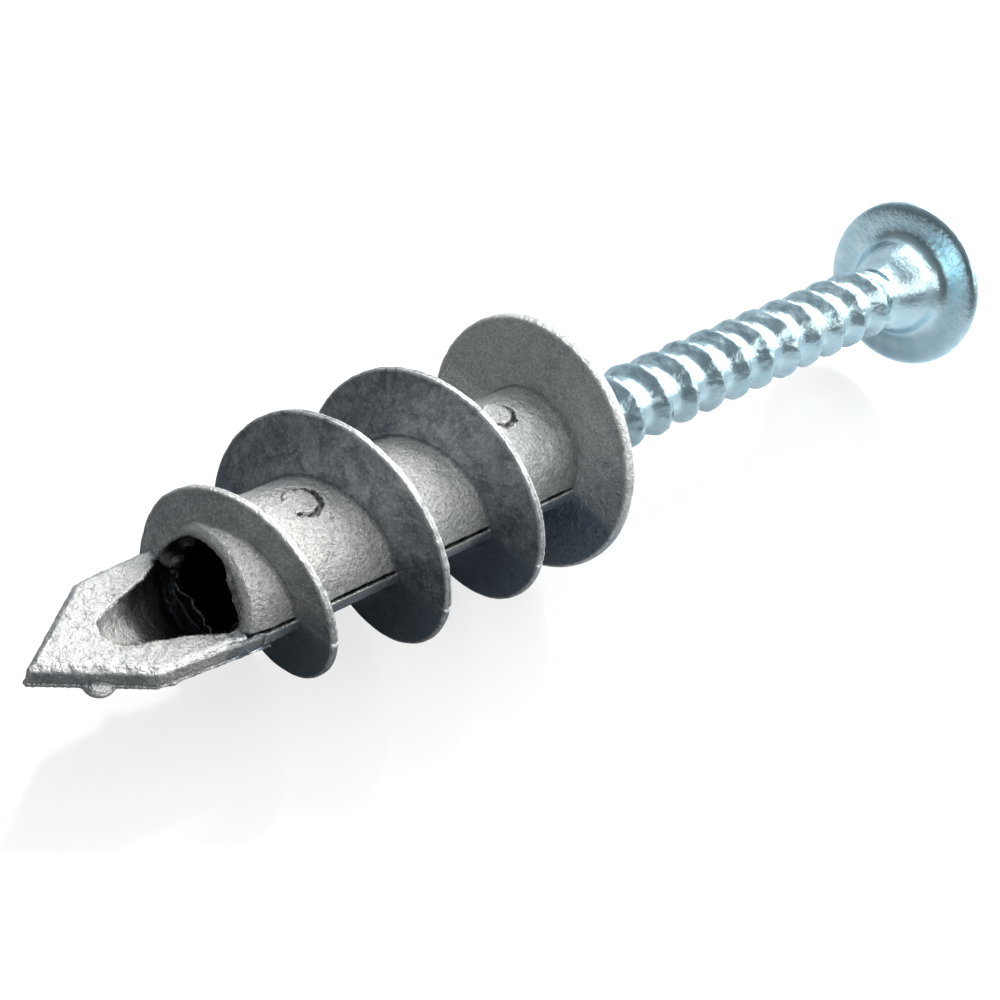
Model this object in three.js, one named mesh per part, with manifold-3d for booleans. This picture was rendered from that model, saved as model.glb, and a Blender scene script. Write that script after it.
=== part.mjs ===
// Self-drilling wall anchor for plasterboard, with its screw started in the bore.
// Millimetres. +X runs along the axis from the drill tip to the screw head, and +Z is up.
// The origin is on the axis, where the flange seats against the wall: the wall fills X < 0.
// The anchor is one die casting, parted in the plane Z = 0. The screw is one piece of steel. Its plain
// round point is a node of its own, because it carries the sliding half of the screw's motion.

import * as THREE from 'three';
import { mergeVertices } from 'three/addons/utils/BufferGeometryUtils.js';
import Module from 'manifold-3d';

const wasm = await Module();
wasm.setup();

// ---- Driving dimensions -------------------------------------------------------------------------

const FLANGE_R = 7.15;
const FLANGE_T = 0.65;

const BARREL_R = 3.45;
const LOWER_HALF_PROUD = 0.1; // the lower half of the die is a little wider than the upper one
const LEDGE_HALF_WIDTH = 3.56; // and leaves a ledge along the parting plane
const LEDGE_T = 0.95;
const BORE_R = 2.6;
const WINDOW_X = -22.0; // the upper half of the barrel ends here, over the trough

const BLADE_TIP_X = -31.5;
const BLADE_SHOULDER_X = -26.5;
const BLADE_HALF_WIDTH = 3.07;
const BLADE_T = 1.2;
const TROUGH_END_X = -27.5;

const FLIGHT_PITCH = 6.4;
const FLIGHT_START_DEG = -60; // 90 is the top of the first turn, 450 the top of the second
const FLIGHT_FULL_DEG = 275; // the thread reaches its full radius here
const FLIGHT_END_DEG = 1135; // and runs out into the flange here
const FLIGHT_BLEND_DEG = 985;
const FLIGHT_TOP_X = -20.5; // middle of the first turn where it crosses the top
const FLIGHT_START_R = 3.3;
const FLIGHT_FULL_R = 6.6;
const FLIGHT_END_R = 6.9;
const FLIGHT_ROOT_T = 1.15;
const FLIGHT_RIM_T = 0.42;

const DRIVE_SLOT_W = 1.15; // cross recess in the flange
const DRIVE_DEPTH = 4.0;

const SCREW_CREST_R = 2.3;
const SCREW_ROOT_R = 1.72;
const SCREW_PITCH = 2.46;
const SCREW_LENGTH = 40; // from the point to the bearing face of the head
const SCREW_CREST_X = 1.69; // a crest crosses the top here
const NECK_X = 33.2; // the shank starts to widen into the head here
const HEAD_BEARING_X = 36.7;
const HEAD_R = 5.6;
const HEAD_TOP_X = 38.4;
const POINT_LENGTH = 2.9;
const POINT_BASE_R = 1.6;
const RECESS_W = 1.0; // cross recess in the screw head
const RECESS_HALF = 2.4;
const RECESS_DEPTH = 2.3;

const GAP = 0.3; // left between two meshes that meet

const SCREW_TIP_X = HEAD_BEARING_X - SCREW_LENGTH;
const POINT_END_X = SCREW_TIP_X + POINT_LENGTH;
const TURN = Math.PI * 2;
const FAR = 60; // half size of a block that is only used to cut
const OVERLAP = 0.05; // how far two halves of one piece run into each other where they are joined

// ---- Helpers ------------------------------------------------------------------------------------

/** A closed three.js geometry as a manifold solid. */
function solid(geometry) {
  const bare = geometry.index ? geometry.toNonIndexed() : geometry.clone();
  bare.deleteAttribute('normal');
  bare.deleteAttribute('uv');
  const merged = mergeVertices(bare, 1e-4);
  return new wasm.Manifold(new wasm.Mesh({
    numProp: 3,
    vertProperties: new Float32Array(merged.attributes.position.array),
    triVerts: new Uint32Array(merged.index.array),
  }));
}

/** A manifold solid as a three.js geometry. */
function toGeometry(manifold) {
  const mesh = manifold.getMesh();
  const geometry = new THREE.BufferGeometry();
  const position = new Float32Array(mesh.numVert * 3);
  for (let v = 0; v < mesh.numVert; v += 1) {
    for (let k = 0; k < 3; k += 1) {
      position[v * 3 + k] = mesh.vertProperties[v * mesh.numProp + k];
    }
  }
  geometry.setAttribute('position', new THREE.BufferAttribute(position, 3));
  geometry.setIndex(new THREE.BufferAttribute(new Uint32Array(mesh.triVerts), 1));
  geometry.computeVertexNormals();
  return geometry;
}

/** A profile of [x, r] pairs turned about the X axis. No vertex lies in the planes Y = 0 and Z = 0. */
function turned(profile, segments) {
  const points = profile.map(([x, r]) => new THREE.Vector2(r, x));
  const halfStep = Math.PI / segments;
  return solid(new THREE.LatheGeometry(points, segments, halfStep).rotateZ(-Math.PI / 2));
}

/** A block given by its lowest and highest corners. */
function block(low, high) {
  const size = high.map((value, k) => value - low[k]);
  const middle = high.map((value, k) => (value + low[k]) / 2);
  return solid(new THREE.BoxGeometry(...size).translate(...middle));
}

/** An outline in the XY plane, given as [x, y] pairs, between two heights. */
function plate(outline, bottom, top) {
  const shape = new THREE.Shape(outline.map(([x, y]) => new THREE.Vector2(x, y)));
  const geometry = new THREE.ExtrudeGeometry(shape, { depth: top - bottom, bevelEnabled: false });
  return solid(geometry.translate(0, 0, bottom));
}

/** The two crossed slots of a cross recess, from one half-outline of [x, half length] pairs. */
function crossRecess(halfOutline, width) {
  const far = halfOutline.map(([x, y]) => [x, -y]).reverse();
  const slot = plate([...halfOutline, ...far], -width / 2, width / 2);
  return slot.add(slot.rotate([90, 0, 0]));
}

/**
 * A ridge that winds right-handed about the X axis. stations is a list of { angle, ring }, with the
 * angle in radians, 0 at +Y and a quarter turn at +Z, and the ring a closed section of [x, r] pairs.
 */
function ridge(stations) {
  const count = stations[0].ring.length;
  const position = [];
  for (const { angle, ring } of stations) {
    for (const [x, r] of ring) {
      position.push(x, r * Math.cos(angle), r * Math.sin(angle));
    }
  }
  const index = [];
  for (let s = 0; s < stations.length - 1; s += 1) {
    for (let k = 0; k < count; k += 1) {
      const a = s * count + k;
      const b = s * count + (k + 1) % count;
      index.push(a, b, a + count, b, b + count, a + count);
    }
  }
  const last = (stations.length - 1) * count;
  for (let k = 1; k < count - 1; k += 1) {
    index.push(0, k + 1, k);
    index.push(last, last + k, last + k + 1);
  }
  const geometry = new THREE.BufferGeometry();
  geometry.setAttribute('position', new THREE.Float32BufferAttribute(position, 3));
  geometry.setIndex(index);
  return solid(geometry);
}

const { degToRad, clamp, lerp, smoothstep } = THREE.MathUtils;

// ---- Anchor -------------------------------------------------------------------------------------

/** Where the middle of the thread lies along the axis at a turn angle in degrees. */
function flightX(degrees) {
  const even = (angle) => FLIGHT_TOP_X + FLIGHT_PITCH * (angle - 90) / 360;
  const runOut = smoothstep(degrees, FLIGHT_BLEND_DEG, FLIGHT_END_DEG + 20);
  return lerp(even(degrees), FLANGE_T / 2, runOut);
}

/** The thread's outer radius at a turn angle: it grows over the first turn. */
function flightR(degrees) {
  if (degrees < FLIGHT_FULL_DEG) {
    const grown = (degrees - FLIGHT_START_DEG) / (FLIGHT_FULL_DEG - FLIGHT_START_DEG);
    return lerp(FLIGHT_START_R, FLIGHT_FULL_R, grown);
  }
  const along = (degrees - FLIGHT_FULL_DEG) / (FLIGHT_END_DEG - FLIGHT_FULL_DEG);
  return lerp(FLIGHT_FULL_R, FLIGHT_END_R, clamp(along, 0, 1));
}

function makeFlights() {
  const rootR = (BORE_R + BARREL_R) / 2;
  const steps = 120;
  const stations = [];
  for (let s = 0; s <= steps; s += 1) {
    const degrees = lerp(FLIGHT_START_DEG, FLIGHT_END_DEG, s / steps);
    const x = flightX(degrees);
    const r = flightR(degrees);
    const rootBack = Math.min(x + FLIGHT_ROOT_T / 2, FLANGE_T - 0.05);
    stations.push({
      angle: degToRad(degrees),
      ring: [
        [x - FLIGHT_ROOT_T / 2, rootR],
        [rootBack, rootR],
        [x + FLIGHT_RIM_T / 2, r],
        [x - FLIGHT_RIM_T / 2, r],
      ],
    });
  }
  return ridge(stations);
}

function makeBody() {
  const upper = turned([
    [WINDOW_X, 0],
    [WINDOW_X, BARREL_R - 0.25],
    [WINDOW_X + 0.5, BARREL_R],
    [FLANGE_T / 2, BARREL_R],
    [FLANGE_T / 2, 0],
  ], 56).subtract(block([-FAR, -FAR, -FAR], [FAR, FAR, -OVERLAP]));

  const lowerR = BARREL_R + LOWER_HALF_PROUD;
  const lower = turned([
    [TROUGH_END_X - 1.1, 0],
    [TROUGH_END_X - 1.0, 0.55],
    [TROUGH_END_X + 0.4, 1.35],
    [-25.6, 2.15],
    [-24, 2.75],
    [-22.2, 3.3],
    [-20.4, lowerR],
    [FLANGE_T / 2, lowerR],
    [FLANGE_T / 2, 0],
  ], 56).subtract(block([-FAR, -FAR, 0], [FAR, FAR, FAR]));

  const blade = plate([
    [BLADE_TIP_X, 0],
    [BLADE_SHOULDER_X, -BLADE_HALF_WIDTH],
    [WINDOW_X, -BARREL_R + 0.1],
    [WINDOW_X + 1.5, -BARREL_R],
    [WINDOW_X + 1.5, BARREL_R],
    [WINDOW_X, BARREL_R - 0.1],
    [BLADE_SHOULDER_X, BLADE_HALF_WIDTH],
  ], -BLADE_T, 0);

  const ledge = block(
    [WINDOW_X + 1, -LEDGE_HALF_WIDTH, -LEDGE_T],
    [FLANGE_T / 2, LEDGE_HALF_WIDTH, 0],
  );

  const flange = turned([
    [0, 0],
    [0, FLANGE_R - 0.12],
    [0.12, FLANGE_R],
    [FLANGE_T - 0.12, FLANGE_R],
    [FLANGE_T, FLANGE_R - 0.12],
    [FLANGE_T, 0],
  ], 72);

  return upper.add(lower).add(ledge).add(blade).add(flange);
}

/** The bore, which opens into the window and rises to the blade's face as a trough. */
function makeBore() {
  return turned([
    [TROUGH_END_X, 0],
    [-27.2, 0.5],
    [-26.6, 0.95],
    [-25.7, 1.35],
    [-24, 1.9],
    [-22.6, BORE_R],
    [FLANGE_T + 1, BORE_R],
    [FLANGE_T + 1, 0],
  ], 40);
}

function makeDriveRecess() {
  const mouth = FLANGE_T + 0.2;
  return crossRecess([
    [mouth, 3.7],
    [0, 3.05],
    [-DRIVE_DEPTH, 2.7],
  ], DRIVE_SLOT_W);
}

function makeAnchor() {
  return makeBody().add(makeFlights()).subtract(makeBore()).subtract(makeDriveRecess());
}

// ---- Screw --------------------------------------------------------------------------------------

/** The thread: a long flank towards the point and a steep one towards the head. */
function makeThread(startX, endX) {
  const stepsPerTurn = 16;
  const fade = 0.6 * SCREW_PITCH;
  const turns = (endX - startX) / SCREW_PITCH;
  const steps = Math.round(turns * stepsPerTurn);
  const stations = [];
  for (let s = 0; s <= steps; s += 1) {
    const x = lerp(startX, endX, s / steps);
    const angle = (x - SCREW_CREST_X) / SCREW_PITCH * TURN + Math.PI / 2;
    const rise = Math.min(1, (x - startX) / fade, (endX - x) / fade);
    const crest = lerp(SCREW_ROOT_R + 0.03, SCREW_CREST_R, rise);
    stations.push({
      angle,
      ring: [
        [x - 0.95, SCREW_ROOT_R - 0.25],
        [x + 0.6, SCREW_ROOT_R - 0.25],
        [x + 0.12, crest],
        [x - 0.14, crest],
      ],
    });
  }
  return ridge(stations);
}

function makeScrew() {
  const startX = POINT_END_X + GAP;
  const shank = turned([
    [startX, 0],
    [startX, POINT_BASE_R],
    [startX + 0.25, SCREW_ROOT_R],
    [NECK_X + OVERLAP, SCREW_ROOT_R],
    [NECK_X + OVERLAP, 0],
  ], 24);
  const head = turned([
    [NECK_X, 0],
    [NECK_X, SCREW_ROOT_R],
    [34.0, 1.98],
    [34.9, 2.25],
    [35.8, 2.75],
    [36.4, 3.3],
    [HEAD_BEARING_X, 3.7],
    [HEAD_BEARING_X, 5.25],
    [HEAD_BEARING_X + 0.2, HEAD_R],
    [HEAD_BEARING_X + 0.55, HEAD_R],
    [HEAD_BEARING_X + 0.9, 5.2],
    [HEAD_TOP_X - 0.3, 4.1],
    [HEAD_TOP_X, 3.3],
    [HEAD_TOP_X, 0],
  ], 44);
  const thread = makeThread(startX + 1.3, 33.6);
  const recess = crossRecess([
    [HEAD_TOP_X + 0.2, RECESS_HALF],
    [HEAD_TOP_X - RECESS_DEPTH, RECESS_HALF - 1.2],
  ], RECESS_W);
  return shank.add(head).add(thread).subtract(recess);
}

function makePoint() {
  return turned([
    [SCREW_TIP_X, 0],
    [SCREW_TIP_X + 0.12, 0.18],
    [SCREW_TIP_X + 1.6, 0.98],
    [POINT_END_X, POINT_BASE_R],
    [POINT_END_X, 0],
  ], 28);
}

// ---- Assembly -----------------------------------------------------------------------------------

const zinc = new THREE.MeshStandardMaterial({ color: 0x8f9292, roughness: 0.5, metalness: 0.85 });
const plated = new THREE.MeshStandardMaterial({ color: 0xa9bcc4, roughness: 0.22, metalness: 1.0 });

const group = new THREE.Group();

function addPiece(name, manifold, material) {
  const mesh = new THREE.Mesh(toGeometry(manifold), material);
  mesh.name = name;
  group.add(mesh);
}

addPiece('anchor', makeAnchor(), zinc);
addPiece('screw', makeScrew(), plated);
addPiece('screw_point', makePoint(), plated);

export default group;
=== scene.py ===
"""Studio view of a self-drilling plasterboard anchor with its screw started in the bore.

The anchor is a zinc die casting. Its skin is made from one distance field, in millimetres, so that the
thread, the barrel, the blade and the flange flow into each other with the fillets that a casting has.
The screw is zinc-plated steel. Its skin is a grid wound round the axis, with the rolled thread in it.
"""

import math

import bpy
import numpy as np
from mathutils import Matrix, Vector


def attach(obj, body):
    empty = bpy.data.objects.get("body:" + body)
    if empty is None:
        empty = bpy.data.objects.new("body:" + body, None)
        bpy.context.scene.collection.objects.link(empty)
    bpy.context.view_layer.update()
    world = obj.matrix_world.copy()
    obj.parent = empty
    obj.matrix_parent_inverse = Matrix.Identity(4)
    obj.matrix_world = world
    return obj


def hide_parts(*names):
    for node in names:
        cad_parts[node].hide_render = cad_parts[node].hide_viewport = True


MM = 0.001
TAU = 2 * math.pi
COS_45 = 0.7071

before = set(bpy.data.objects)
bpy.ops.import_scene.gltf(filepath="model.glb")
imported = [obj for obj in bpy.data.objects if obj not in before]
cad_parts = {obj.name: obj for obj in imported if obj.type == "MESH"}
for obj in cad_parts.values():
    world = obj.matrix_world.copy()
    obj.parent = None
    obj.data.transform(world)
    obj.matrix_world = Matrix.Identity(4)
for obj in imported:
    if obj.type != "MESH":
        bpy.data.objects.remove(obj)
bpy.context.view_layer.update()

# ---- Anchor sizes, in millimetres ---------------------------------------------------------------

CELL = 0.1  # pitch of the grid that the casting's skin is taken from

FLANGE_R = 7.13
FLANGE_T = 0.62
FLANGE_OFF = (0.2, 0.13)  # the flange sits a little off the barrel's axis, along Y and Z
BARREL_R = 3.45
LOWER_R = 3.5
BORE_R = 2.62
HOOD_X = -22.0  # the upper half of the barrel ends here
HOOD_R = 3.2
HOOD_BLEND = 0.07
LEDGE_Y = 3.56  # the lower half of the die leaves a ledge along the parting plane
LEDGE_T = 0.9
GROOVE_Z = -0.03  # middle of the black line where the two halves of the die met
GROOVE_HALF_T = 0.08
GROOVE_FLOOR_Y = 3.15

BLADE_TIP_X = -31.5
BLADE_SHOULDER_X = -26.5
BLADE_HALF_WIDTH = 3.07
BLADE_T = 1.2
BLADE_CHAMFER = 0.21
BLADE_PADS = [(-28.6, -1.5, 0.75), (-25.7, -2.8, 0.42)]  # x, y and radius, under its near edge

KEEL_XS = [-28.7, -28.5, -27.1, -25.6, -24.0, -22.2, -20.4]
KEEL_RADII = [0.0, 0.6, 1.4, 2.15, 2.78, 3.3, LOWER_R]
BORE_XS = [-27.55, -27.4, -27.0, -26.5, -25.7, -24.0, -22.6]
BORE_RADII = [0.0, 0.6, 0.95, 1.15, 1.4, 1.9, BORE_R]

# Turn angle in degrees: 90 is the top of the first turn, 450 the top of the second.
FLIGHT_ANGLES = [-60, 90, 450, 810, 985, 1112]
FLIGHT_XS = [-23.1, -20.54, -14.26, -7.76, -4.6, 0.75]
FLIGHT_SWING = 0.255  # the thread gains on an even helix at the near side and loses at the far side
FLIGHT_RADII_AT = [-60, 30, 120, 275, 450, 765, 850, 1112]
FLIGHT_RADII = [3.6, 4.75, 5.15, 6.45, 6.65, 6.9, 6.8, 6.75]
FLIGHT_ROOT_T = 1.15
FLIGHT_RIM_T = 0.42
NICKED_AT = (180, 540, 900)  # the rim's crossings of the parting plane, on the near side

SLOT_HALF_WIDTH = 0.58
SLOT_DEPTH_X = -4.0

EJECTOR_MARKS = [(-16.85, 0.05, 0.95, 11), (-3.25, 0.4, 0.92, 23)]  # x, y, radius, seed

# ---- Screw sizes, in millimetres ----------------------------------------------------------------

SCREW_TIP_X = -3.3
SCREW_ROOT_R = 1.72
SCREW_CREST_R = 2.36
SCREW_PITCH = 2.46
SCREW_CREST_X = 1.69  # a crest crosses the top here
THREAD_START_X = 0.9
THREAD_END_X = 33.7
HEAD_TOP_X = 38.4
SCREW_COLUMNS = 96  # vertices in each ring of the screw's skin
HEAD_OUTLINE = [
    (33.2, 1.72), (33.8, 1.86), (34.3, 2.12), (34.9, 2.5), (35.5, 2.82), (36.0, 3.02), (36.35, 3.2),
    (36.55, 3.42), (36.68, 3.7), (36.72, 4.1), (36.74, 4.6), (36.78, 5.0), (36.85, 5.3),
    (36.98, 5.52), (37.15, 5.6), (37.35, 5.58), (37.55, 5.4), (37.85, 4.9), (38.1, 4.2),
    (38.3, 3.4), (38.38, 2.6), (38.4, 1.4), (38.4, 0.02),
]  # (x, r), from the shank round the rim to the middle of the top

# ---- Studio, in metres unless the name says otherwise -------------------------------------------

FLOOR_Z_MM = -7.05
FLOOR_HALF_SIDE = 3.0
SOFTBOX_AT = (0.17, -0.01, 0.19)
SOFTBOX_SIZE = (0.44, 0.26)
SOFTBOX_WATTS = 0.9
FILL_AT = (-0.01, -0.24, 0.18)
FILL_SIZE = (0.2, 0.14)
FILL_WATTS = 0.12
WARM_WHITE = (1, 0.99, 0.95)

CAMERA_ANGLES = (31.96, 39.86, 21.13)  # azimuth, elevation and roll, in degrees
CAMERA_TARGET_MM = (-0.73, 0, -3.57)
CAMERA_DISTANCE_MM = 99.54
CAMERA_LENS_MM = 65.23

# ---- Noise and soft joins -----------------------------------------------------------------------


def lattice_noise(p, size, seed):
    """Smooth noise from -1 to 1 at points p, with features of about the given size."""
    table = np.random.default_rng(seed).uniform(-1, 1, (32, 32, 32)).astype(np.float32)
    q = p / size + 1000.0
    cell = np.floor(q).astype(np.int64)
    part = (q - cell).astype(np.float32)
    part = part * part * (3 - 2 * part)
    total = np.zeros(len(p), np.float32)
    for corner in range(8):
        step = np.array([corner >> 2 & 1, corner >> 1 & 1, corner & 1])
        weight = np.where(step == 1, part, 1 - part).prod(axis=1)
        i, j, k = ((cell + step) & 31).T
        total += weight * table[i, j, k]
    return total


def soft_min(a, b, k):
    """The smaller of two distances, with a fillet of about k where they cross."""
    h = np.clip(0.5 + 0.5 * (b - a) / k, 0, 1)
    return b + (a - b) * h - k * h * (1 - h)


def soft_max(a, b, k):
    return -soft_min(-a, -b, k)


def ease(value, low, high):
    """0 at low and 1 at high, smooth in between; low may be above high."""
    t = np.clip((value - low) / (high - low), 0, 1)
    return t * t * (3 - 2 * t)


# ---- The casting's distance field ---------------------------------------------------------------


def convex_outline(x, y, corners):
    """Distance to a convex outline given counter-clockwise."""
    distance = np.full_like(x, -1e9)
    for (x0, y0), (x1, y1) in zip(corners, corners[1:] + corners[:1]):
        run = math.hypot(x1 - x0, y1 - y0)
        distance = np.maximum(distance, ((y1 - y0) * (x - x0) - (x1 - x0) * (y - y0)) / run)
    return distance


def flight_x(degrees):
    """Where along the axis the middle of the thread is, at an angle counted through its turns."""
    even = np.interp(degrees, FLIGHT_ANGLES[:5], FLIGHT_XS[:5])
    even = even + FLIGHT_SWING * (np.sin(np.radians(degrees - 135)) + math.sqrt(0.5))
    run_out = ease(degrees, FLIGHT_ANGLES[4], FLIGHT_ANGLES[5])
    return even + (FLIGHT_XS[5] - even) * run_out


def flights(x, r, degrees):
    """The coarse thread: the nearest of its turns at each point."""
    nearest = np.full_like(x, 1e3)
    for turn in range(-1, 4):
        angle = degrees + 360 * turn
        radius = np.interp(angle, FLIGHT_RADII_AT, FLIGHT_RADII)
        up = np.clip((r - BARREL_R) / (radius - BARREL_R + 0.01), 0, 1)
        half = 0.5 * (FLIGHT_ROOT_T + (FLIGHT_RIM_T - FLIGHT_ROOT_T) * up)
        turn_field = soft_max((np.abs(x - flight_x(angle)) - half) * 0.96, r - radius, 0.14)
        past_end = np.maximum(FLIGHT_ANGLES[0] - angle, angle - FLIGHT_ANGLES[5])
        turn_field = np.maximum(turn_field, np.radians(past_end) * r)
        nearest = np.minimum(nearest, turn_field)
    return nearest


def blade(x, y, z):
    """The drill blade: a plate with a chamfer from wear and a thin lip of flash under its edge."""
    corners = [
        (BLADE_TIP_X + 0.12, 0.1),
        (BLADE_TIP_X + 0.12, -0.1),
        (BLADE_SHOULDER_X - 0.1, -BLADE_HALF_WIDTH + 0.02),
        (BLADE_SHOULDER_X + 0.4, -BLADE_HALF_WIDTH - 0.05),
        (HOOD_X + 1.5, -LEDGE_Y),
        (HOOD_X + 1.5, LEDGE_Y),
        (BLADE_SHOULDER_X + 0.1, BLADE_HALF_WIDTH + 0.28),
        (BLADE_SHOULDER_X - 0.35, BLADE_HALF_WIDTH + 0.2),
    ]
    outline = convex_outline(x, y, corners)
    plate = soft_max(outline + 0.03, np.maximum(z, -BLADE_T - z), 0.14)
    chamfer = (outline + z) * COS_45 + BLADE_CHAMFER  # from wear, along the top edges
    plate = soft_max(plate, chamfer, 0.04)
    lip = np.maximum(outline - 0.04, np.abs(z + BLADE_T - 0.1) - 0.07)
    return np.minimum(plate, lip)


def upper_r(x, r):
    """Distance to the upper half of the barrel, which narrows at the hood over the trough."""
    hood = ease(x, HOOD_X - 0.4, HOOD_X + 1.4)
    return r - (HOOD_R + (BARREL_R - HOOD_R) * hood)


def bore_radius(x):
    """Radius of the bore, and of the trough that it becomes in front of the hood."""
    return np.interp(x, BORE_XS, BORE_RADII)


def torn_sheet(q):
    """The flash that the core left across the mouth of the bore, torn open."""
    x, y, z = q.T
    stretched = q * np.array([0.2, 1, 1], np.float32)
    tear = 0.3 * lattice_noise(stretched, 0.9, 5) + 0.2 * lattice_noise(stretched, 0.35, 6)
    angle = np.degrees(np.arctan2(z, y))
    tab = 0.9 * np.exp(-((angle - 138) / 26) ** 2) + 0.55 * np.exp(-((angle - 22) / 24) ** 2)
    tab = tab + 0.25 * ease(z, 0.2, -0.6)
    hole = np.hypot(y - 0.1, z - 0.05) - 2.45 + tab - tear
    sheet = np.maximum(np.abs(x + 21.7 + 0.5 * tear) - 0.08, -hole)
    sheet = np.maximum(sheet, np.hypot(y, z) - 2.8)
    lump = np.sqrt((x + 22.25) ** 2 + (y - 2.0) ** 2 + (z - 0.1) ** 2) - 0.55 - 0.9 * tear
    clear_of_screw = 1.5 + 0.45 * (x + 22.25) - np.hypot(y, z)  # where the screw's point comes through
    return np.maximum(np.minimum(sheet, lump), clear_of_screw)


def casting(p):
    """Distance to the anchor's skin, below zero inside the metal."""
    x, y, z = p.T
    r = np.hypot(y, z)
    degrees = np.degrees(np.arctan2(z, y)) % 360

    # Upper half of the barrel, ending in the hood over the trough.
    upper = upper_r(x, r)
    upper = soft_max(upper, HOOD_X - x, HOOD_BLEND)
    upper = np.maximum(upper, (upper_r(x, r) + HOOD_X - x + 0.2) * 0.7)
    upper = np.maximum(upper, -z)

    # Lower half, which narrows to a keel under the blade, and its ledge.
    keel_r = np.interp(x, KEEL_XS, KEEL_RADII)
    lower = np.maximum((r - keel_r) * 0.9, z)
    ledge = soft_max(np.abs(y) - LEDGE_Y, np.abs(z + LEDGE_T / 2 + 0.05) - LEDGE_T / 2, 0.16)
    ledge = np.maximum(ledge, HOOD_X + 1 - x)
    body = soft_min(lower, ledge, 0.12)
    body = np.minimum(body, blade(x, y, z))
    body = soft_min(body, upper, 0.05)
    body = np.maximum(body, x - FLANGE_T)

    # Black line where the two halves of the die met.
    groove = np.maximum(np.abs(z - GROOVE_Z) - GROOVE_HALF_T, GROOVE_FLOOR_Y - np.abs(y))
    body = np.maximum(body, -np.maximum(groove, HOOD_X + 0.4 - x))

    # Thread and flange, with fillets at their roots.
    thread = np.maximum(flights(x, r, degrees), x - FLANGE_T + 0.3)
    body = soft_min(body, thread, 0.16)
    rim = FLANGE_R - 0.06 * ease(x, 0.3, 0.0)
    from_middle = np.hypot(y - FLANGE_OFF[0], z - FLANGE_OFF[1])
    flange = soft_max(from_middle - rim, np.abs(x - FLANGE_T / 2) - FLANGE_T / 2, 0.1)
    body = soft_min(body, flange, 0.12)

    # A nick in the thread's rim at each crossing of the parting plane.
    for angle in NICKED_AT:
        nick_r = np.interp(angle, FLIGHT_RADII_AT, FLIGHT_RADII)
        nick = np.sqrt((x - flight_x(angle)) ** 2 + (y + nick_r + 0.06) ** 2 + (z * 1.6) ** 2) - 0.26
        body = np.maximum(body, -nick)

    # Ejector marks on top of the barrel: a flat disc in a ragged ring.
    for mark_x, mark_y, mark_r, seed in EJECTOR_MARKS:
        away = np.hypot(x - mark_x, y - mark_y)
        near = (away < mark_r + 0.5) & (z > 2)
        ragged = np.zeros_like(x)
        ragged[near] = 0.1 * lattice_noise(p[near], 0.22, seed)
        disc = np.maximum(away - mark_r, np.maximum(z - 3.45, 2.5 - z))
        side = (x - mark_x) * 0.8 - (y - mark_y) * 0.6 + 0.6 * ragged  # the ring is deep on one side
        width = 0.05 + 0.07 * ease(side, -0.3, 0.7)
        ring = np.maximum(np.abs(away - mark_r + 0.06 - ragged) - width, 3.1 - z)
        ring = np.maximum(ring, -0.45 - side)
        body = np.maximum(np.minimum(body, disc), -ring)

    # The bore, and the trough it becomes in front of the hood.
    bore = (r - bore_radius(x)) * 0.9
    body = np.maximum(body, -np.maximum(bore, -27.6 - x))

    # Torn flash left across the mouth of the bore.
    near = (x > -23.6) & (x < -20.6) & (r < 3.2)
    if near.any():
        q = p[near]
        body[near] = np.minimum(body[near], torn_sheet(q))

    # Cross slots for the driver, in the flange.
    depth = np.maximum(SLOT_DEPTH_X - x, x - 2)
    reach = np.interp(x, [SLOT_DEPTH_X, 0, 1], [2.75, 3.05, 3.8])
    for across, along in ((y, z), (z, y)):
        slot = np.maximum(np.abs(across) - SLOT_HALF_WIDTH, np.abs(along) - reach)
        body = np.maximum(body, -np.maximum(slot, depth))

    # Ejector pads under the blade.
    for pad_x, pad_y, pad_r in BLADE_PADS:
        pad = np.sqrt((x - pad_x) ** 2 + (y - pad_y) ** 2 + ((z + BLADE_T) * 2) ** 2) - pad_r
        body = soft_min(body, pad * 0.6, 0.1)
    return body


def grain(p):
    """How far the skin stands proud of its design shape: the blade is coarse, the rest fine."""
    coarse = lattice_noise(p, 0.34, 1) + 0.6 * lattice_noise(p, 0.19, 2)
    wave = lattice_noise(p, 1.6, 3)
    on_blade = ease(p[:, 0], HOOD_X - 0.3, HOOD_X - 1.2) * ease(p[:, 2], -0.4, -0.1)
    above = ease(p[:, 2], -0.6, 0.1)
    return coarse * (0.004 + 0.017 * above + 0.034 * on_blade) + 0.02 * wave


# ---- Skin from a distance field -----------------------------------------------------------------


def in_chunks(field, points, chunk=400_000):
    """The field at many points, a chunk at a time to save memory."""
    parts = [field(points[i:i + chunk]) for i in range(0, len(points), chunk)]
    return np.concatenate(parts).astype(np.float32)


def sample_near_skin(field, low, high, cell):
    """The field on a grid, worked out only in the blocks that the skin may pass through."""
    side = 8
    blocks = np.ceil((high - low) / (cell * side)).astype(int)
    index = np.indices(blocks).reshape(3, -1).T
    centres = low + (index + 0.5) * cell * side
    at_centre = in_chunks(field, centres.astype(np.float32)).reshape(blocks)
    live = np.abs(at_centre) < cell * side * 0.9 + 0.35
    fine = np.ones((side, side, side))
    grid = np.pad(np.kron(np.sign(at_centre), fine), ((0, 1),) * 3, mode="edge").astype(np.float32)
    wanted = np.pad(np.kron(live, fine) > 0, ((0, 1),) * 3)
    for axis in range(3):
        wanted |= np.roll(wanted, 1, axis)
    where = np.argwhere(wanted)
    grid[wanted] = in_chunks(field, (low + where * cell).astype(np.float32))
    return grid


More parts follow.
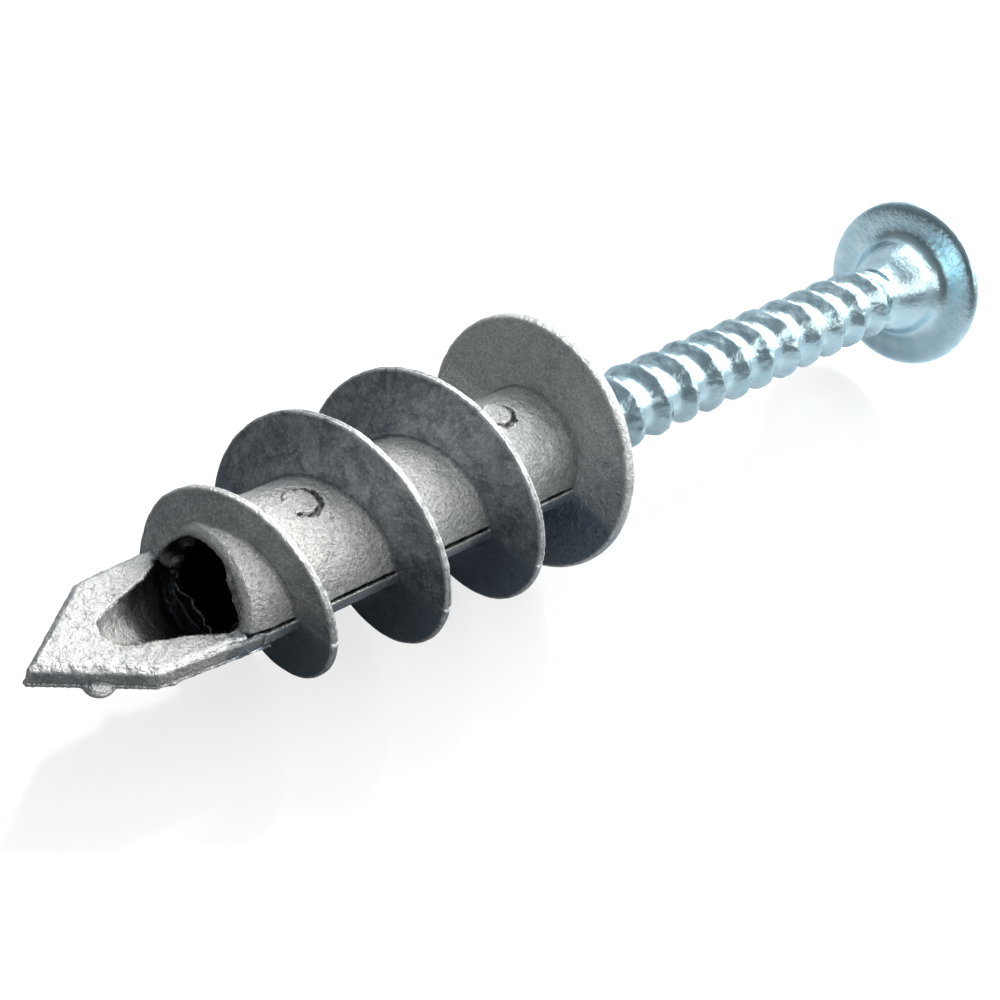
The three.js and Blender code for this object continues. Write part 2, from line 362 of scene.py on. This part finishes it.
def skin_mesh(grid, low, cell):
    """One vertex in each grid cell that the skin crosses, and a quad across each crossed edge."""
    inside = grid < 0
    shape = np.array(grid.shape) - 1
    corners = [inside[i:i + shape[0], j:j + shape[1], k:k + shape[2]]
               for i in (0, 1) for j in (0, 1) for k in (0, 1)]
    count = sum(c.astype(np.int8) for c in corners)
    cells = np.argwhere((count > 0) & (count < 8))
    number = np.full(shape, -1, np.int64)
    number[tuple(cells.T)] = np.arange(len(cells))

    total = np.zeros((len(cells), 3))
    crossings = np.zeros(len(cells))
    quads = []
    for axis in range(3):
        step = np.eye(3, dtype=int)[axis]
        others = [a for a in range(3) if a != axis]
        for u in (0, 1):
            for v in (0, 1):
                start = cells.copy()
                start[:, others[0]] += u
                start[:, others[1]] += v
                a = grid[tuple(start.T)]
                b = grid[tuple((start + step).T)]
                crossed = (a < 0) != (b < 0)
                part = np.where(crossed, a / np.where(crossed, a - b, 1), 0)
                total += np.where(crossed[:, None], start + part[:, None] * step, 0)
                crossings += crossed
        head = [slice(1, -1)] * 3
        head[axis] = slice(0, -1)
        tail = [slice(1, -1)] * 3
        tail[axis] = slice(1, None)
        a, b = inside[tuple(head)], inside[tuple(tail)]
        edges = np.argwhere(a != b) + 1
        edges[:, axis] -= 1
        leaving = inside[tuple(edges.T)]
        around = []
        for u, v in ((1, 1), (0, 1), (0, 0), (1, 0)):
            cell_index = edges.copy()
            cell_index[:, others[0]] -= u
            cell_index[:, others[1]] -= v
            around.append(number[tuple(cell_index.T)])
        quad = np.stack(around, axis=1)
        flip = leaving if axis != 1 else ~leaving
        quads.append(np.where(flip[:, None], quad, quad[:, ::-1]))
    return low + total / crossings[:, None] * cell, np.concatenate(quads)


def slope(field, points, step=0.02):
    """The field's gradient, by central differences."""
    parts = []
    for axis in range(3):
        shift = np.zeros(3, np.float32)
        shift[axis] = step
        parts.append((in_chunks(field, points + shift) - in_chunks(field, points - shift)) / (2 * step))
    return np.stack(parts, axis=1)


def settle(field, points, rounds=2):
    """Moves points onto the skin, and returns them with the directions out of the metal."""
    points = points.astype(np.float32)
    for _ in range(rounds):
        direction = slope(field, points)
        size = np.maximum((direction ** 2).sum(axis=1), 0.09)
        move = direction * (in_chunks(field, points) / size)[:, None]
        points = points - np.clip(move, -CELL / 2, CELL / 2)
    direction = slope(field, points)
    return points, direction / np.maximum(np.linalg.norm(direction, axis=1), 0.1)[:, None]


def mesh_object(name, vertices, faces, attributes=None):
    """A smooth-shaded object from millimetre vertices and quads, with named values per vertex."""
    mesh = bpy.data.meshes.new(name)
    mesh.vertices.add(len(vertices))
    mesh.vertices.foreach_set("co", (np.asarray(vertices, np.float64) * MM).ravel())
    mesh.loops.add(faces.size)
    mesh.loops.foreach_set("vertex_index", faces.astype(np.int32).ravel())
    mesh.polygons.add(len(faces))
    mesh.polygons.foreach_set("loop_start", np.arange(len(faces), dtype=np.int32) * faces.shape[1])
    mesh.update(calc_edges=True)
    mesh.validate()
    mesh.shade_smooth()
    for key, values in (attributes or {}).items():
        mesh.attributes.new(key, "FLOAT", "POINT").data.foreach_set("value", values.astype(np.float32))
    item = bpy.data.objects.new(name, mesh)
    bpy.context.scene.collection.objects.link(item)
    return item


def make_casting():
    low = np.array([-32.2, -7.6, -7.6])
    high = np.array([1.4, 7.6, 7.6])
    grid = sample_near_skin(casting, low, high, CELL)
    points, faces = skin_mesh(grid, low, CELL)
    points, outward = settle(casting, points)

    # How sharply the skin turns over at each vertex: convex edges get wear and a painted highlight,
    # concave corners get painted shade.
    turn = np.zeros(len(points), np.float32)
    ring = np.zeros(len(points), np.float32)
    for k in range(4):
        here, there = faces[:, k], faces[:, (k + 1) % 4]
        bend = ((points[there] - points[here]) * (outward[there] - outward[here])).sum(axis=1)
        bend = bend / np.maximum(((points[there] - points[here]) ** 2).sum(axis=1), 1e-4)
        for end in (here, there):
            turn += np.bincount(end, bend, len(points)).astype(np.float32)
            ring += np.bincount(end, minlength=len(points)).astype(np.float32)
    turn /= np.maximum(ring, 1)

    x, y, z = points.T
    r = np.hypot(y, z)
    # Painted light: the blade's top, the barrel's upper side, the flange (more on its far side), the
    # hood, the front of the barrel and the trough's end are whitened where the lamp falls, less on the
    # barrel near the flange.
    on_blade = ease(x, HOOD_X - 0.2, HOOD_X - 0.9) * ease(outward[:, 2], 0.5, 0.9)
    ragged = lattice_noise(points, 1.1, 8)
    trough = ease(r, bore_radius(x) + 0.3, bore_radius(x) + 0.05) * ease(z, 0.0, -0.15)
    # Painted shade: the far trough, the bore, the torn flash in its mouth and the parting groove are
    # turned near-black.
    trough_shade = 0.85 * trough * ease(x + 0.5 * ragged, -25.9, -24.7)
    # Painted light on the end of the trough.
    trough_end_painted_light = 0.9 * trough * ease(x, -25.2, -26.0)
    bore = ease(r, BORE_R + 0.2, BORE_R + 0.02) * ease(x, -21.7, -21.3)
    lump = 0.85 * ease(r, BORE_R + 0.2, BORE_R) * ease(y, 0.8, 1.3) * ease(x, -23.3, -22.9)
    groove_shade = ease(np.abs(z - GROOVE_Z), 0.14, 0.07) * ease(r, 3.55, 3.4) * (x > HOOD_X)
    # Painted highlight on the blade's near-side chamfer, chosen by which way the skin faces.
    chamfer_highlight = ease(np.abs(outward[:, 2] - 0.64), 0.34, 0.12) * ease(outward[:, 1], 0.0, -0.3)
    chamfer_highlight = chamfer_highlight * (x < HOOD_X - 1.0) * (z > -0.5) * (1 - trough)
    radial = (outward[:, 1] * y + outward[:, 2] * z) / np.maximum(r, 0.1)
    barrel_painted_light = ease(radial, 0.5, 0.85) * ease(r, 3.75, 3.6) * ease(z, -0.9, 0.3) * (x > HOOD_X - 1)
    barrel_painted_light = barrel_painted_light * (1 - 0.45 * ease(x, -8, -4)) * (0.95 + 0.25 * ragged)
    flange_painted_light = ease(x, -0.8, -0.3) * (0.45 + 0.35 * ease(y, 0, 4))
    hood_painted_light = 0.35 * ease(x, -20.6, -21.0) * ease(radial, 0.2, 0.6) * ease(r, 2.75, 2.9)
    front_painted_light = 0.35 * ease(x, -16.5, -20.5) + hood_painted_light
    points = points + outward * grain(points)[:, None]
    return mesh_object("anchor_casting", points, faces, {
        "edge": np.clip(turn / 4, -1, 1),
        "chamfer_highlight": chamfer_highlight,
        # Painted light on the upper faces.
        "painted_light": np.maximum.reduce([
            0.82 * on_blade * (1 - trough_shade), barrel_painted_light, flange_painted_light, front_painted_light, trough_end_painted_light,
        ]),
        # Painted shade in recesses.
        "painted_recess_shade": np.maximum.reduce([trough_shade, bore, lump, groove_shade]),
        # Painted shade: the lower half, below the parting plane, is turned deep blue-grey.
        "lower": ease(z + 0.25 * ragged, 0.1, -0.9) * (x > HOOD_X - 1),
    })


# ---- The screw ----------------------------------------------------------------------------------


def wound_grid(rows, radius_at, columns):
    """Vertices and quads of a skin wound round X. rows are (x, r) pairs from the tip to the far end."""
    angle = np.arange(columns) / columns * TAU
    x = np.repeat([row[0] for row in rows], columns)
    r = np.repeat([row[1] for row in rows], columns)
    theta = np.tile(angle, len(rows))
    r = radius_at(x, r, theta)
    vertices = np.stack([x, r * np.cos(theta), r * np.sin(theta)], axis=1)
    first = np.arange(len(rows) - 1)[:, None] * columns + np.arange(columns)[None, :]
    after = np.arange(len(rows) - 1)[:, None] * columns + (np.arange(columns)[None, :] + 1) % columns
    faces = np.stack([first, first + columns, after + columns, after], axis=2).reshape(-1, 4)
    return vertices, faces


def screw_profile():
    """The screw's outline without its thread, as (x, r) pairs."""
    point = [(SCREW_TIP_X, 0.02), (SCREW_TIP_X + 0.06, 0.12), (SCREW_TIP_X + 0.3, 0.3)]
    point += [(x, np.interp(x, [-3.0, -1.7, -0.3, 0.4], [0.3, 1.0, 1.62, SCREW_ROOT_R]))
              for x in np.arange(-2.9, 0.4, 0.1)]
    shank = [(x, SCREW_ROOT_R) for x in np.arange(0.4, 33.2, 0.07)]
    xs, rs = (np.array(values) for values in zip(*HEAD_OUTLINE))
    run = np.concatenate([[0], np.cumsum(np.hypot(np.diff(xs), np.diff(rs)))])
    fine = np.linspace(0, run[-1], 110)
    smooth = []
    for values in (xs, rs):
        line = np.interp(fine, run, values)
        for _ in range(3):
            line[1:-1] = 0.25 * line[:-2] + 0.5 * line[1:-1] + 0.25 * line[2:]
        smooth.append(line)
    head = [(x, r) for x, r in zip(*smooth)]
    return point + shank + head


def threaded(x, r, theta):
    """Adds the rolled thread to the plain radius: a long flank to the point, a steep one to the head."""
    angle = theta - math.pi / 2
    phase = (x - SCREW_CREST_X) / SCREW_PITCH - angle / TAU
    along = (phase - np.round(phase)) * SCREW_PITCH
    ring = np.stack([np.cos(theta) * 3, np.sin(theta) * 3, x * 1.2], axis=1)
    wander = 0.09 * lattice_noise(ring, 1.3, 31) + 0.04 * lattice_noise(ring, 0.45, 33)
    along = along + wander
    front = 1 + (along + 0.1) / 0.82
    back = 1 - (along - 0.1) / 0.5
    height = soft_min(soft_min(front, back, 0.25), np.ones_like(front), 0.2)
    height = soft_max(height, np.zeros_like(height), 0.22)
    seam = np.exp(-((along - 0.02) / 0.05) ** 2)  # the lap that rolling leaves along the crest
    burr = 1 + 0.07 * lattice_noise(ring, 0.7, 32) + 0.05 * lattice_noise(ring, 0.28, 34)
    height = height * burr - 0.12 * seam
    fade = ease(x, THREAD_START_X, THREAD_START_X + 1.6) * ease(x, THREAD_END_X, THREAD_END_X - 1.4)
    return r + (SCREW_CREST_R - SCREW_ROOT_R) * height * fade


def cross_cutter():
    """The shape of the driver's cross, to be taken out of the head."""
    arms = [(0.5, 2.45), (0.5, 0.95), (0.95, 0.5), (2.45, 0.5)]
    outline = []
    for quarter in range(4):
        c, s = round(math.cos(quarter * math.pi / 2)), round(math.sin(quarter * math.pi / 2))
        outline += [(u * c - v * s, u * s + v * c) for u, v in reversed(arms)]
    levels = [(HEAD_TOP_X + 0.5, 1.08), (HEAD_TOP_X - 0.2, 0.98), (HEAD_TOP_X - 2.0, 0.52),
              (HEAD_TOP_X - 2.45, 0.12)]
    vertices = [(x, u * k, v * k) for x, k in levels for u, v in outline]
    count = len(outline)
    faces = []
    for level in range(len(levels) - 1):
        for k in range(count):
            a, b = level * count + k, level * count + (k + 1) % count
            faces.append((a, a + count, b + count, b))
    faces.append(tuple(range(count)))
    faces.append(tuple(reversed(range((len(levels) - 1) * count, len(levels) * count))))
    mesh = bpy.data.meshes.new("cross_cutter")
    mesh.from_pydata([Vector(v) * MM for v in vertices], [], faces)
    mesh.update()
    item = bpy.data.objects.new("cross_cutter", mesh)
    bpy.context.scene.collection.objects.link(item)
    return item


def make_screw():
    vertices, faces = wound_grid(screw_profile(), threaded, SCREW_COLUMNS)
    count = len(vertices)
    vertices = np.vstack([vertices, [[SCREW_TIP_X - 0.01, 0, 0], [HEAD_TOP_X, 0, 0]]])
    k = np.arange(SCREW_COLUMNS)
    after = (k + 1) % SCREW_COLUMNS
    last_ring = count - SCREW_COLUMNS
    tip = np.stack([np.full(SCREW_COLUMNS, count), k, after], axis=1)
    top = np.stack([np.full(SCREW_COLUMNS, count + 1), last_ring + after, last_ring + k], axis=1)
    mesh = bpy.data.meshes.new("steel_screw")
    polygons = faces.tolist() + tip.tolist() + top.tolist()
    mesh.from_pydata((vertices * MM).tolist(), [], polygons)
    mesh.update()
    item = bpy.data.objects.new("steel_screw", mesh)
    bpy.context.scene.collection.objects.link(item)

    cutter = cross_cutter()
    cut = item.modifiers.new("cross", "BOOLEAN")
    cut.operation = "DIFFERENCE"
    cut.solver = "EXACT"
    cut.object = cutter
    bpy.context.view_layer.update()
    result = bpy.data.meshes.new_from_object(item.evaluated_get(bpy.context.evaluated_depsgraph_get()))
    item.modifiers.clear()
    item.data = result
    bpy.data.objects.remove(cutter)
    item.data.shade_smooth()
    item.data.set_sharp_from_angle(angle=math.radians(50))
    return item


# ---- Materials ----------------------------------------------------------------------------------

ZINC_DARK = (0.22, 0.25, 0.28, 1)
ZINC_LIGHT = (0.56, 0.58, 0.6, 1)
ZINC_PAINTED_LIGHT = (1.0, 1.0, 0.95, 1)  # painted light on the upper faces of the barrel, blade and flange
ZINC_PIT = (0.26, 0.28, 0.3, 1)
ZINC_FOLD = (0.16, 0.17, 0.19, 1)
# Painted glints on the grains.
ZINC_PAINTED_GLINT = (0.98, 0.98, 0.95, 1)
ZINC_LOWER_SHADE = (0.32, 0.4, 0.47, 1)  # painted shade over the lower half, which is also smoother
ZINC_WEAR_AND_HIGHLIGHT = (1.0, 1.0, 0.96, 1)  # edges with wear, whitened further as a painted highlight
ZINC_CORNER_SHADE = (0.1, 0.11, 0.12, 1)  # painted shade in concave corners
ZINC_RECESS_SHADE = (0.006, 0.007, 0.009, 1)  # painted shade in the bore, the trough, the groove and on the torn flash
PLATING_DEEP = (0.52, 0.73, 0.82, 1)
PLATING_PALE = (0.66, 0.85, 0.9, 1)


class Nodes:
    """Short ways to write a material's nodes."""

    def __init__(self, name):
        self.material = bpy.data.materials.new(name)
        self.material.use_nodes = True
        self.tree = self.material.node_tree
        self.shader = self.tree.nodes["Principled BSDF"]
        self.place = self.tree.nodes.new("ShaderNodeTexCoord").outputs["Object"]

    def link(self, source, target):
        """Wires a node's output to a socket, or sets the socket to a constant."""
        if hasattr(source, "is_output"):
            self.tree.links.new(source, target)
        else:
            target.default_value = source

    def noise(self, millimetres, detail=2.0, roughness=0.5, distortion=0.0):
        node = self.tree.nodes.new("ShaderNodeTexNoise")
        node.inputs["Scale"].default_value = 1 / (millimetres * MM)
        node.inputs["Detail"].default_value = detail
        node.inputs["Roughness"].default_value = roughness
        node.inputs["Distortion"].default_value = distortion
        self.link(self.place, node.inputs["Vector"])
        return node.outputs["Fac"]

    def attribute(self, name):
        node = self.tree.nodes.new("ShaderNodeAttribute")
        node.attribute_name = name
        return node.outputs["Fac"]

    def between(self, value, low, high, out_low=0.0, out_high=1.0):
        node = self.tree.nodes.new("ShaderNodeMapRange")
        for key, item in zip(("Value", "From Min", "From Max", "To Min", "To Max"),
                             (value, low, high, out_low, out_high)):
            self.link(item, node.inputs[key])
        return node.outputs["Result"]

    def math(self, operation, a, b):
        node = self.tree.nodes.new("ShaderNodeMath")
        node.operation = operation
        self.link(a, node.inputs[0])
        self.link(b, node.inputs[1])
        return node.outputs[0]

    def mix(self, factor, a, b):
        node = self.tree.nodes.new("ShaderNodeMix")
        node.data_type = "RGBA"
        self.link(factor, node.inputs["Factor"])
        self.link(a, node.inputs["A"])
        self.link(b, node.inputs["B"])
        return node.outputs["Result"]

    def bump(self, height, millimetres, normal=None):
        node = self.tree.nodes.new("ShaderNodeBump")
        node.inputs["Distance"].default_value = millimetres * MM
        self.link(height, node.inputs["Height"])
        if normal is not None:
            self.link(normal, node.inputs["Normal"])
        return node.outputs["Normal"]


def zinc_material():
    """Bare zinc casting: grainy, mottled grey, with painted light on its upper faces, painted glints,
    edge wear whitened further as a painted highlight, and painted shade in corners, recesses and the
    lower half.
    """
    n = Nodes("zinc_casting")
    grains = n.noise(0.15, detail=4, roughness=0.7)
    blotch = n.noise(1.1, detail=5, roughness=0.65, distortion=0.6)
    scuffs = n.between(n.noise(0.5, detail=4, roughness=0.7), 0.34, 0.5)
    lower = n.attribute("lower")
    painted_light = n.attribute("painted_light")
    # Wear on convex edges, whitened further as a painted highlight.
    wear_and_highlight = n.math("MULTIPLY", n.between(n.attribute("edge"), 0.24, 0.6), scuffs)
    # The painted highlight on the blade's near chamfer joins the edge wear.
    wear_and_highlight = n.math("MAXIMUM", wear_and_highlight, n.attribute("chamfer_highlight"))
    # Painted shade in concave corners.
    corner_shade = n.between(n.attribute("edge"), -0.5, -0.1, 1.0, 0.0)
    colour = n.mix(n.between(blotch, 0.38, 0.62), ZINC_DARK, ZINC_LIGHT)
    # Painted light: the upper faces go towards near-white.
    colour = n.mix(painted_light, colour, ZINC_PAINTED_LIGHT)
    pits = n.between(grains, 0.38, 0.55, 1.0, 0.0)
    pits = n.math("MULTIPLY", pits, n.between(painted_light, 0, 1, 0.4, 0.22))
    colour = n.mix(pits, colour, ZINC_PIT)
    folds = n.math("ABSOLUTE", n.math("SUBTRACT", n.noise(0.5, detail=3, distortion=1.6), 0.5), 0)
    folds = n.between(folds, 0.0, 0.035, 1.0, 0.0)
    folds = n.math("MULTIPLY", folds, n.between(painted_light, 0, 1, 0.15, 0.6))
    colour = n.mix(folds, colour, ZINC_FOLD)
    # Painted glints: near-white specks among the grains, more where light is painted.
    painted_glint = n.math("MULTIPLY", n.between(grains, 0.52, 0.68), n.between(painted_light, 0, 1, 0.45, 0.9))
    colour = n.mix(painted_glint, colour, ZINC_PAINTED_GLINT)
    # Painted shade on the lower half.
    colour = n.mix(n.math("MULTIPLY", lower, 0.8), colour, ZINC_LOWER_SHADE)
    # Edges with wear and painted highlight go near-white.
    colour = n.mix(n.math("MULTIPLY", wear_and_highlight, 0.9), colour, ZINC_WEAR_AND_HIGHLIGHT)
    colour = n.mix(n.math("MULTIPLY", corner_shade, 0.5), colour, ZINC_CORNER_SHADE)
    # Painted shade in the bore, trough, groove and torn flash.
    colour = n.mix(n.attribute("painted_recess_shade"), colour, ZINC_RECESS_SHADE)
    n.link(colour, n.shader.inputs["Base Color"])
    n.shader.inputs["Metallic"].default_value = 1.0
    rough = n.between(n.noise(0.3, detail=2), 0.3, 0.7, 0.42, 0.6)
    rough = n.math("SUBTRACT", rough, n.math("MULTIPLY", wear_and_highlight, 0.14))
    rough = n.math("SUBTRACT", rough, n.math("MULTIPLY", painted_light, 0.08))
    n.link(n.math("SUBTRACT", rough, n.math("MULTIPLY", lower, 0.14)), n.shader.inputs["Roughness"])
    fine = n.math("MULTIPLY", grains, n.between(lower, 0, 1, 1.0, 0.25))
    fine = n.math("MULTIPLY", fine, n.between(painted_light, 0, 1, 0.7, 2.2))
    normal = n.bump(fine, 0.04)
    crinkle = n.noise(0.42, detail=3, roughness=0.6, distortion=1.0)
    crinkle = n.math("MULTIPLY", crinkle, n.between(painted_light, 0, 1, 0.8, 2.4))
    normal = n.bump(crinkle, 0.055, normal)
    n.link(normal, n.shader.inputs["Normal"])
    return n.material


def plated_material():
    """Blue zinc plating on steel: glossy, with a faint haze and fine rolling marks."""
    n = Nodes("blue_zinc_plating")
    haze = n.noise(0.9, detail=3)
    colour = n.mix(n.between(haze, 0.35, 0.7), PLATING_DEEP, PLATING_PALE)
    n.link(colour, n.shader.inputs["Base Color"])
    n.shader.inputs["Metallic"].default_value = 1.0
    n.link(n.between(n.noise(0.5, detail=3), 0.3, 0.7, 0.14, 0.26), n.shader.inputs["Roughness"])
    n.link(n.bump(n.noise(0.4, detail=4, roughness=0.65), 0.04), n.shader.inputs["Normal"])
    return n.material


# ---- Studio -------------------------------------------------------------------------------------


def make_floor(height):
    mesh = bpy.data.meshes.new("floor")
    side = FLOOR_HALF_SIDE
    mesh.from_pydata([(-side, -side, height), (side, -side, height), (side, side, height),
                      (-side, side, height)], [], [(0, 1, 2, 3)])
    item = bpy.data.objects.new("floor", mesh)
    bpy.context.scene.collection.objects.link(item)
    n = Nodes("white_floor")
    n.shader.inputs["Roughness"].default_value = 0.12
    n.shader.inputs["Specular IOR Level"].default_value = 0.5
    n.shader.inputs["Emission Color"].default_value = (1, 1, 1, 1)
    seen = n.tree.nodes.new("ShaderNodeLightPath").outputs["Is Camera Ray"]
    apart = n.tree.nodes.new("ShaderNodeSeparateXYZ")
    n.link(n.place, apart.inputs[0])
    toward_back = n.between(apart.outputs["X"], -0.01, 0.025)
    # Painted shade in what the metal reflects: to all but camera rays the floor is dim in front and pale
    # behind; the camera sees it evenly white.
    floor_reflected_shade = n.mix(toward_back, (0.14, 0.145, 0.15, 1), (0.6, 0.62, 0.65, 1))
    n.link(n.mix(seen, floor_reflected_shade, (0.25, 0.25, 0.25, 1)), n.shader.inputs["Base Color"])
    n.link(n.between(seen, 0, 1, 0.0, 0.74), n.shader.inputs["Emission Strength"])
    item.data.materials.append(n.material)


def make_world():
    """A soft studio: strong light above and behind the object, dim in front of it and below."""
    world = bpy.data.worlds.new("studio")
    bpy.context.scene.world = world
    world.use_nodes = True
    tree = world.node_tree
    place = tree.nodes.new("ShaderNodeTexCoord")
    toward = tree.nodes.new("ShaderNodeVectorMath")
    toward.operation = "DOT_PRODUCT"
    toward.inputs[1].default_value = (0.92, 0.1, 0.38)
    tree.links.new(place.outputs["Generated"], toward.inputs[0])
    ramp = tree.nodes.new("ShaderNodeValToRGB")
    ramp.color_ramp.interpolation = "EASE"
    stops = [(0.0, 0.12), (0.45, 0.26), (0.75, 0.7), (1.0, 1.0)]
    while len(ramp.color_ramp.elements) < len(stops):
        ramp.color_ramp.elements.new(0.5)
    for element, (position, value) in zip(ramp.color_ramp.elements, stops):
        element.position = position
        element.color = (value * 0.94, value * 0.99, value * 1.05, 1)
    scale = tree.nodes.new("ShaderNodeMapRange")
    scale.inputs["From Min"].default_value = -1.0
    tree.links.new(toward.outputs["Value"], scale.inputs["Value"])
    tree.links.new(scale.outputs["Result"], ramp.inputs["Fac"])
    tree.links.new(ramp.outputs["Color"], tree.nodes["Background"].inputs["Color"])


def soft_light(name, location, size, watts):
    """A rectangular lamp that points at the object."""
    light = bpy.data.lights.new(name, "AREA")
    light.shape = "RECTANGLE"
    light.size, light.size_y = size
    light.energy = watts
    light.color = WARM_WHITE
    item = bpy.data.objects.new(name, light)
    item.location = location
    item.rotation_euler = (-Vector(location)).to_track_quat("-Z", "Y").to_euler()
    bpy.context.scene.collection.objects.link(item)


def make_camera():
    """The view from in front of the tip and above, rolled to one side."""
    azimuth, elevation, roll = (math.radians(angle) for angle in CAMERA_ANGLES)
    forward = Vector((math.cos(azimuth) * math.cos(elevation), math.sin(azimuth) * math.cos(elevation),
                      -math.sin(elevation)))
    level = Vector((math.sin(azimuth), -math.cos(azimuth), 0))
    above = level.cross(forward)
    right = math.cos(roll) * level + math.sin(roll) * above
    up = -math.sin(roll) * level + math.cos(roll) * above
    data = bpy.data.cameras.new("camera")
    data.lens = CAMERA_LENS_MM
    data.sensor_width = 36
    data.clip_start = 0.005
    item = bpy.data.objects.new("camera", data)
    place = Vector(CAMERA_TARGET_MM) * MM - forward * CAMERA_DISTANCE_MM * MM
    turn = Matrix((right, up, -forward)).transposed().to_4x4()
    item.matrix_world = Matrix.Translation(place) @ turn
    bpy.context.scene.collection.objects.link(item)
    bpy.context.scene.camera = item


# ---- Assembly -----------------------------------------------------------------------------------

anchor = make_casting()
anchor.data.materials.append(zinc_material())
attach(anchor, "anchor_body")
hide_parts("anchor")

screw = make_screw()
screw.data.materials.clear()
screw.data.materials.append(plated_material())
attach(screw, "screw_turn_body")
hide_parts("screw", "screw_point")

make_floor(FLOOR_Z_MM * MM)
make_world()
soft_light("softbox", SOFTBOX_AT, SOFTBOX_SIZE, SOFTBOX_WATTS)
soft_light("fill", FILL_AT, FILL_SIZE, FILL_WATTS)
make_camera()

bpy.context.scene.view_settings.view_transform = "Standard"
